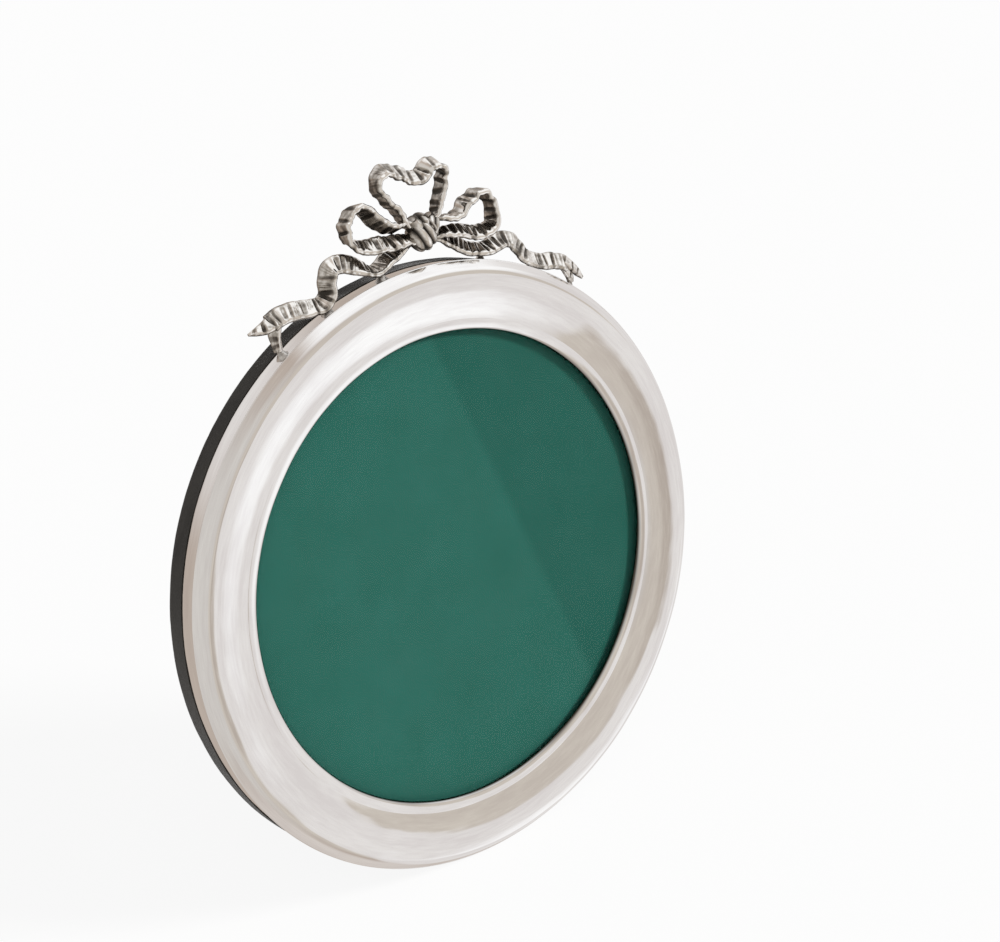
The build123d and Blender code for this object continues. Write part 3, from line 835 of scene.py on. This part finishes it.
def make_stay(material):
    """The ribbon that stops the strut, thicker along its selvedges."""
    path = []
    rough = stay_path()
    for first, last in zip(rough, rough[1:]):
        count = max(1, round((last - first).length / STAY_STEP))
        path += [first.lerp(last, step / count) for step in range(count)]
    path.append(rough[-1])
    points = []
    count = len(path)
    for index, spot in enumerate(path):
        ahead = (path[min(index + 1, count - 1)] - path[max(index - 1, 0)]).normalized()
        normal = Vector((-ahead.y, ahead.x))
        ripple = STAY_RIPPLE * math.sin(index * STAY_RIPPLE_TURN)
        for side in (1, -1):
            for column in range(STAY_COLUMNS + 1):
                x = side * STAY_WIDTH * (column / STAY_COLUMNS - 0.5)
                share = SELVEDGE_SHARE if abs(x) > STAY_WIDTH / 2 - SELVEDGE else MIDDLE_SHARE
                out = spot + normal * (side * STAY_THICK / 2 * share + ripple)
                points.append((x, out.x, out.y))
    faces = tube_faces(count, 2 * (STAY_COLUMNS + 1))
    piece = make_piece("stay_ribbon_strip", points, faces, material, "back", ["stay_ribbon"])
    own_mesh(piece)


# Materials

# The green sheet is paler on one side of a soft slanting edge
PALE_SIDE_SLANT = 0.402
PALE_SIDE_OFFSET = 24.9
PALE_SIDE_SOFT = 1.6

# Colour of the painted shade on the polished silver, along the sight bead's inner wall
PAINTED_SHADE_COLOUR = (0.09, 0.08, 0.065, 1.0)


def feed(tree, node, inputs):
    """Set a node's inputs, given as values or as sockets to join."""
    for name, value in inputs.items():
        if isinstance(value, bpy.types.NodeSocket):
            tree.links.new(value, node.inputs[name])
        else:
            node.inputs[name].default_value = value


def add(tree, kind, inputs=None, **settings):
    """A node with its settings and its inputs."""
    node = tree.nodes.new(kind)
    for name, value in settings.items():
        setattr(node, name, value)
    feed(tree, node, inputs or {})
    return node


def new_material(name):
    """A material with its node tree and its main shader."""
    material = bpy.data.materials.new(name)
    material.use_nodes = True
    tree = material.node_tree
    return material, tree, tree.nodes["Principled BSDF"]


def own_space(tree, squeeze=(1, 1, 1)):
    """A place in the model's own space, in millimetres, squeezed along its axes."""
    spot = add(tree, "ShaderNodeTexCoord").outputs["Object"]
    scale = [part / MM for part in squeeze]
    return add(tree, "ShaderNodeMapping", {"Vector": spot, "Scale": scale}).outputs[0]


def cloudy(tree, spot, scale, detail, distortion=0.0):
    """Noise at a place, from 0 to 1."""
    inputs = {"Vector": spot, "Scale": scale, "Detail": detail, "Distortion": distortion}
    return add(tree, "ShaderNodeTexNoise", inputs).outputs["Fac"]


def banded(tree, scale, direction):
    """Slightly uneven bands along one axis of the model, from 0 to 1."""
    inputs = {"Vector": own_space(tree), "Scale": scale, "Distortion": 0.3, "Detail": 2.0}
    return add(tree, "ShaderNodeTexWave", inputs, bands_direction=direction).outputs["Fac"]


def kept(tree, name):
    """The node that reads what a piece keeps for each of its points."""
    return add(tree, "ShaderNodeAttribute", attribute_name=name)


def mix(tree, share, first, second, blend_type="MIX"):
    """Two colours mixed, the second by its share."""
    inputs = {"Fac": share, "Color1": first, "Color2": second}
    return add(tree, "ShaderNodeMixRGB", inputs, blend_type=blend_type).outputs[0]


def combine(tree, operation, first, second):
    """Two values combined by an operation."""
    return add(tree, "ShaderNodeMath", {0: first, 1: second}, operation=operation).outputs[0]


def ramp(tree, value, stops):
    """A colour ramp through (place, colour) stops."""
    node = add(tree, "ShaderNodeValToRGB", {"Fac": value})
    elements = node.color_ramp.elements
    while len(elements) < len(stops):
        elements.new(0.5)
    for element, (spot, colour) in zip(elements, stops):
        element.position = spot
        element.color = (*colour, 1.0)
    return node.outputs["Color"]


def spread(tree, value, source, target):
    """A value moved from one range to another, and kept within it."""
    limits = {"From Min": source[0], "From Max": source[1], "To Min": target[0], "To Max": target[1]}
    return add(tree, "ShaderNodeMapRange", {"Value": value, **limits}).outputs[0]


def bump(tree, shader, height, distance, strength):
    """Fine relief on a shader, distance in millimetres."""
    inputs = {"Height": height, "Distance": distance * MM, "Strength": strength}
    feed(tree, shader, {"Normal": add(tree, "ShaderNodeBump", inputs).outputs[0]})


def polished_silver():
    material, tree, shader = new_material("polished_silver")
    lines = kept(tree, "polish").outputs["Vector"]
    streak = cloudy(tree, lines, 1.7, detail=6.0)
    smear = cloudy(tree, lines, 0.3, detail=4.0)
    cloud = mix(tree, 0.4, smear, streak)
    colour = ramp(tree, cloud, [(0.38, (0.86, 0.84, 0.84)), (0.62, (0.97, 0.965, 0.96))])
    feed(tree, shader, {
        # The kept value mixes in painted shade, which only the sight bead sets
        "Base Color": mix(tree, kept(tree, "tarnish_and_painted_shading").outputs["Fac"], colour, PAINTED_SHADE_COLOUR),
        "Roughness": spread(tree, streak, (0.35, 0.8), (0.03, 0.16)),
        "Metallic": 1.0,
    })
    worked = combine(tree, "ADD", combine(tree, "MULTIPLY", smear, 3.0), streak)
    bump(tree, shader, worked, distance=0.008, strength=0.5)
    return material


def oxidised_silver():
    material, tree, shader = new_material("oxidised_silver")
    speck = cloudy(tree, own_space(tree), 1.1, detail=6.0)
    shift = spread(tree, speck, (0.3, 0.7), (-0.1, 0.1))
    # The kept value holds oxide with painted light and shade on the bow, and painted shade on the sight bead
    tarnish_and_painted_shading = combine(tree, "ADD", kept(tree, "tarnish_and_painted_shading").outputs["Fac"], shift)
    feed(tree, shader, {
        "Base Color": ramp(tree, tarnish_and_painted_shading, [
            (0.02, (0.94, 0.92, 0.89)), (0.36, (0.45, 0.42, 0.38)),
            (0.7, (0.15, 0.135, 0.12)), (1.0, (0.055, 0.05, 0.043)),
        ]),
        "Roughness": spread(tree, tarnish_and_painted_shading, (0.1, 0.9), (0.1, 0.42)),
        "Metallic": 1.0,
    })
    fine = cloudy(tree, own_space(tree), 2.0, detail=3.0)
    bump(tree, shader, fine, distance=0.02, strength=0.4)
    return material


def dull_solder():
    material, tree, shader = new_material("solder")
    lumps = cloudy(tree, own_space(tree), 0.8, detail=6.0)
    feed(tree, shader, {
        "Base Color": ramp(tree, lumps, [(0.3, (0.40, 0.38, 0.36)), (0.7, (0.80, 0.78, 0.75))]),
        "Roughness": spread(tree, lumps, (0.3, 0.7), (0.45, 0.25)),
        "Metallic": 1.0,
    })
    bump(tree, shader, lumps, distance=0.08, strength=0.4)
    return material


def bare_wood():
    material, tree, shader = new_material("bare_wood")
    grain = cloudy(tree, own_space(tree, (6.0, 6.0, 0.35)), 0.25, detail=8.0, distortion=0.6)
    pores = cloudy(tree, own_space(tree, (5.0, 5.0, 0.3)), 1.2, detail=4.0)
    feed(tree, shader, {
        "Base Color": ramp(tree, grain, [
            (0.3, (0.30, 0.17, 0.08)), (0.5, (0.45, 0.29, 0.15)), (0.7, (0.56, 0.39, 0.22)),
        ]),
        "Roughness": spread(tree, pores, (0.3, 0.7), (0.6, 0.8)),
    })
    bump(tree, shader, pores, distance=0.15, strength=0.5)
    return material


def clear_glass():
    """A clear pane that lets nearly all light straight through and mirrors the rest."""
    material, tree, shader = new_material("clear_glass")
    smear = cloudy(tree, own_space(tree), 0.08, detail=5.0)
    feed(tree, shader, {
        "Base Color": (0.97, 0.99, 0.98, 1.0),
        "Metallic": 1.0,
        "Roughness": spread(tree, smear, (0.4, 0.8), (0.0, 0.05)),
        "Alpha": spread(tree, smear, (0.3, 0.7), (0.002, 0.005)),
    })
    return material


def green_paper():
    material, tree, shader = new_material("green_paper")
    cloud = cloudy(tree, own_space(tree), 0.05, detail=5.0)
    fibre = cloudy(tree, own_space(tree, (1.0, 1.0, 0.4)), 1.6, detail=6.0)
    spot = add(tree, "ShaderNodeTexCoord").outputs["Object"]
    slant = (RIGHT + UPWARD * PALE_SIDE_SLANT).normalized()
    edge = add(tree, "ShaderNodeVectorMath", {0: spot, 1: slant}, operation="DOT_PRODUCT").outputs["Value"]
    middle = CENTRE.dot(slant) + PALE_SIDE_OFFSET * MM
    # The sheet is paler on one side of the soft slanting edge
    pale_side = spread(tree, edge, (middle - PALE_SIDE_SOFT * MM, middle + PALE_SIDE_SOFT * MM), (1.0, 0.0))
    deep = ramp(tree, cloud, [(0.3, (0.018, 0.097, 0.074)), (0.7, (0.021, 0.105, 0.081))])
    pale = ramp(tree, cloud, [(0.3, (0.023, 0.114, 0.087)), (0.7, (0.026, 0.125, 0.098))])
    thread = spread(tree, fibre, (0.35, 0.65), (0.97, 1.03))
    feed(tree, shader, {
        "Base Color": mix(tree, 1.0, mix(tree, pale_side, deep, pale), thread, "MULTIPLY"),
        "Roughness": spread(tree, fibre, (0.3, 0.7), (0.8, 0.95)),
        "Specular IOR Level": 0.03,
    })
    bump(tree, shader, fibre, distance=0.006, strength=0.2)
    return material


def grey_card():
    material, tree, shader = new_material("grey_card")
    pulp = cloudy(tree, own_space(tree), 0.9, detail=7.0)
    feed(tree, shader, {
        "Base Color": ramp(tree, pulp, [(0.3, (0.22, 0.20, 0.165)), (0.7, (0.33, 0.30, 0.25))]),
        "Roughness": spread(tree, pulp, (0.3, 0.7), (0.8, 0.95)),
    })
    bump(tree, shader, pulp, distance=0.05, strength=0.4)
    return material


def dark_velvet():
    material, tree, shader = new_material("dark_velvet")
    pile = cloudy(tree, own_space(tree), 3.5, detail=3.0)
    brushed = cloudy(tree, own_space(tree, (1.0, 1.0, 0.6)), 0.06, detail=5.0, distortion=0.8)
    base = ramp(tree, brushed, [(0.35, (0.030, 0.026, 0.022)), (0.65, (0.048, 0.042, 0.036))])
    fleck = spread(tree, pile, (0.35, 0.65), (0.75, 1.25))
    feed(tree, shader, {
        "Base Color": mix(tree, 1.0, base, fleck, "MULTIPLY"),
        "Roughness": spread(tree, pile, (0.3, 0.7), (0.85, 1.0)),
        "Sheen Weight": 0.35,
        "Sheen Roughness": 0.4,
        "Specular IOR Level": 0.1,
    })
    bump(tree, shader, pile, distance=0.15, strength=0.6)
    return material


def hinge_brass():
    material, tree, shader = new_material("hinge_brass")
    age = cloudy(tree, own_space(tree), 0.25, detail=6.0)
    drawn = cloudy(tree, own_space(tree, (0.15, 1.0, 1.0)), 2.2, detail=4.0)
    feed(tree, shader, {
        "Base Color": ramp(tree, age, [
            (0.3, (0.32, 0.21, 0.08)), (0.55, (0.62, 0.45, 0.19)), (0.75, (0.72, 0.55, 0.26)),
        ]),
        "Roughness": spread(tree, drawn, (0.3, 0.7), (0.22, 0.42)),
        "Metallic": 1.0,
    })
    bump(tree, shader, drawn, distance=0.03, strength=0.3)
    return material


def dark_ribbon():
    material, tree, shader = new_material("dark_ribbon")
    weave = combine(tree, "MULTIPLY", banded(tree, 0.9, "Z"), banded(tree, 0.7, "X"))
    feed(tree, shader, {
        "Base Color": ramp(tree, weave, [(0.0, (0.014, 0.013, 0.012)), (0.6, (0.045, 0.041, 0.037))]),
        "Roughness": spread(tree, weave, (0.0, 1.0), (0.8, 0.5)),
        "Sheen Weight": 0.2,
    })
    bump(tree, shader, weave, distance=0.08, strength=0.6)
    return material


def dress(node, material):
    """Give a CAD node that stays in view its own finish."""
    mesh = frame["nodes"][node].data
    mesh.materials.clear()
    mesh.materials.append(material)


# Stage: floor, surroundings, lamps and camera

CAMERA_FROM_CENTRE = Vector((-0.267809, -0.334761, 0.218018))
CAMERA_TURN = (66.47, 0.0, -39.94)
LENS = 59.29
SENSOR = 36.0
AMBIENT = 0.34
FLOOR_HALF = 6.0
FLOOR_COLOUR = (0.93, 0.93, 0.925, 1.0)
FLOOR_SHINE = 0.9

# Each lamp: where it stands from the frame's centre in metres, its spread in degrees and its strength
KEY_LAMP = ((0.8, -0.75, 0.65), 14.0, 2.6)
FILL_LAMP = ((-0.7, -0.8, 0.8), 40.0, 0.5)

# Colours of the room that the silver mirrors
LIGHT_GREY = (0.775, 0.75, 0.735)
BEIGE = (0.61, 0.56, 0.50)
LEFT_GREY = (0.64, 0.615, 0.585)
FAR_BEIGE = (0.50, 0.43, 0.375)
DIM_BEIGE = (0.49, 0.435, 0.385)
FLOOR_GREY = (0.66, 0.61, 0.57)
WHITE = (1.0, 1.0, 1.0)

# Zones of the room: azimuth, elevation, reach and softness in degrees
RIGHT_CARD = (100.0, 12.0, 43.0, 3.0)
LOW_CARD = (78.0, -25.0, 48.0, 2.0)
MIDDLE_CARD = (42.0, -1.0, 17.5, 2.0)
WHITE_SPOT = (46.0, -29.0, 12.0, 6.0)
TOP_LIGHT = (68.0, 62.0, 33.0, 8.0)
LEFT_WALL = (-45.0, 0.0, 55.0, 20.0)
FRONT_WALL = (42.0, 0.0, 46.0, 8.0)
DIM_STRIP = (20.0, -10.0, 7.0, 5.0)
FLOOR_GLOW = (0.0, -90.0, 30.0, 12.0)
BACK_LIGHT = (-150.0, 40.0, 32.0, 16.0)

# The low and the middle card end at this elevation, with this softness
CARD_TOP = (0.5, 1.0)


def heading(azimuth, elevation):
    """A direction given by degrees from straight ahead of the frame to its right, and above level."""
    a = math.radians(azimuth)
    e = math.radians(elevation)
    return Vector((math.sin(a) * math.cos(e), -math.cos(a) * math.cos(e), math.sin(e)))


def zone(tree, direction, azimuth, elevation, reach, soft):
    """One where a direction lies within reach of a heading, in degrees, falling to zero beyond."""
    sides = {0: direction, 1: heading(azimuth, elevation)}
    dot = add(tree, "ShaderNodeVectorMath", sides, operation="DOT_PRODUCT").outputs["Value"]
    far = math.cos(math.radians(reach + soft))
    near = math.cos(math.radians(max(reach - soft, 0.0)))
    limits = {"Value": dot, "From Min": far, "From Max": near}
    return add(tree, "ShaderNodeMapRange", limits, interpolation_type="SMOOTHSTEP").outputs[0]


def below(tree, direction, elevation, soft):
    """One where a direction points lower than an elevation, in degrees."""
    height = add(tree, "ShaderNodeSeparateXYZ", {"Vector": direction}).outputs["Z"]
    low = math.sin(math.radians(elevation - soft))
    high = math.sin(math.radians(elevation + soft))
    return spread(tree, height, (low, high), (1.0, 0.0))


def make_room(tree, direction):
    """The room of white, grey and beige that the silver mirrors."""
    room = (*FAR_BEIGE, 1)
    for area, colour in (
        (LEFT_WALL, LEFT_GREY), (FRONT_WALL, BEIGE), (DIM_STRIP, DIM_BEIGE),
        (FLOOR_GLOW, FLOOR_GREY), (BACK_LIGHT, LIGHT_GREY), (RIGHT_CARD, LIGHT_GREY),
    ):
        room = mix(tree, zone(tree, direction, *area), room, (*colour, 1))
    cut = below(tree, direction, *CARD_TOP)
    for card in (LOW_CARD, MIDDLE_CARD):
        lower = combine(tree, "MULTIPLY", zone(tree, direction, *card), cut)
        room = mix(tree, lower, room, (*LIGHT_GREY, 1))
    for area in (WHITE_SPOT, TOP_LIGHT):
        room = mix(tree, zone(tree, direction, *area), room, (*WHITE, 1))
    return room


def make_world():
    """White for the camera, soft light for the object, and a room for the silver to mirror."""
    world = bpy.data.worlds.new("studio")
    bpy.context.scene.world = world
    world.use_nodes = True
    tree = world.node_tree
    direction = add(tree, "ShaderNodeTexCoord").outputs["Generated"]
    path = add(tree, "ShaderNodeLightPath")
    glossy = path.outputs["Is Glossy Ray"]
    shown = combine(tree, "MAXIMUM", path.outputs["Is Camera Ray"], glossy)
    feed(tree, tree.nodes["Background"], {
        "Color": mix(tree, glossy, (*WHITE, 1), make_room(tree, direction)),
        "Strength": spread(tree, shown, (0.0, 1.0), (AMBIENT, 1.0)),
    })


def make_floor():
    """A white floor that keeps a soft shadow."""
    mesh = bpy.data.meshes.new("floor")
    half = FLOOR_HALF
    corners = [(-half, -half, 0), (half, -half, 0), (half, half, 0), (-half, half, 0)]
    mesh.from_pydata(corners, [], [(0, 1, 2, 3)])
    floor = bpy.data.objects.new("floor", mesh)
    bpy.context.scene.collection.objects.link(floor)
    material, tree, shader = new_material("floor_white")
    feed(tree, shader, {"Base Color": FLOOR_COLOUR, "Roughness": 0.9, "Specular IOR Level": 0.0})
    glow = add(tree, "ShaderNodeEmission", {"Color": (*WHITE, 1), "Strength": 1.0})
    path = add(tree, "ShaderNodeLightPath")
    share = spread(tree, path.outputs["Is Camera Ray"], (0.0, 1.0), (0.0, FLOOR_SHINE))
    mixed = add(tree, "ShaderNodeMixShader", {0: share, 1: shader.outputs[0], 2: glow.outputs[0]})
    feed(tree, tree.nodes["Material Output"], {"Surface": mixed.outputs[0]})
    mesh.materials.append(material)
    floor.visible_glossy = False


def make_lamp(name, spot, spread_angle, strength):
    """A broad soft lamp far off, aimed at the frame and kept out of the reflections."""
    data = bpy.data.lights.new(name, "SUN")
    data.angle = math.radians(spread_angle)
    data.energy = strength
    lamp = bpy.data.objects.new(name, data)
    lamp.location = CENTRE + Vector(spot)
    lamp.rotation_euler = (CENTRE - lamp.location).to_track_quat("-Z", "Y").to_euler()
    lamp.visible_glossy = False
    bpy.context.scene.collection.objects.link(lamp)


def make_camera():
    data = bpy.data.cameras.new("camera")
    data.lens = LENS
    data.sensor_width = SENSOR
    camera = bpy.data.objects.new("camera", data)
    camera.location = CENTRE + CAMERA_FROM_CENTRE
    camera.rotation_euler = [math.radians(turn) for turn in CAMERA_TURN]
    bpy.context.scene.collection.objects.link(camera)
    bpy.context.scene.camera = camera


def build():
    silver = polished_silver()
    oxidised = oxidised_silver()
    wood = bare_wood()
    velvet = dark_velvet()
    brass = hinge_brass()
    make_silver_front(silver)
    make_sight_bead(silver)
    make_rim_band(silver)
    make_back_velvet(velvet)
    for name, node, ribbons in BOW_PIECES:
        make_bow_piece(name, node, [ribbon(*facts) for facts in ribbons], oxidised)
    make_knot(oxidised)
    make_solder(dull_solder())
    make_strut_velvet(velvet)
    make_stay(dark_ribbon())
    dress("glass", clear_glass())
    dress("backing_sheet", green_paper())
    dress("packing_card", grey_card())
    for node in ("liner_ring", "back_board", "strut_board"):
        dress(node, wood)
    for node in (
        "hinge_back_leaf", "hinge_pin", "hinge_back_screws", "hinge_strut_leaf",
        "hinge_strut_screws", "stay_back_rivet", "stay_strut_rivet",
    ):
        dress(node, brass)
    make_world()
    make_floor()
    make_lamp("key", *KEY_LAMP)
    make_lamp("fill", *FILL_LAMP)
    make_camera()


build()
bpy.context.scene.view_settings.view_transform = "Standard"
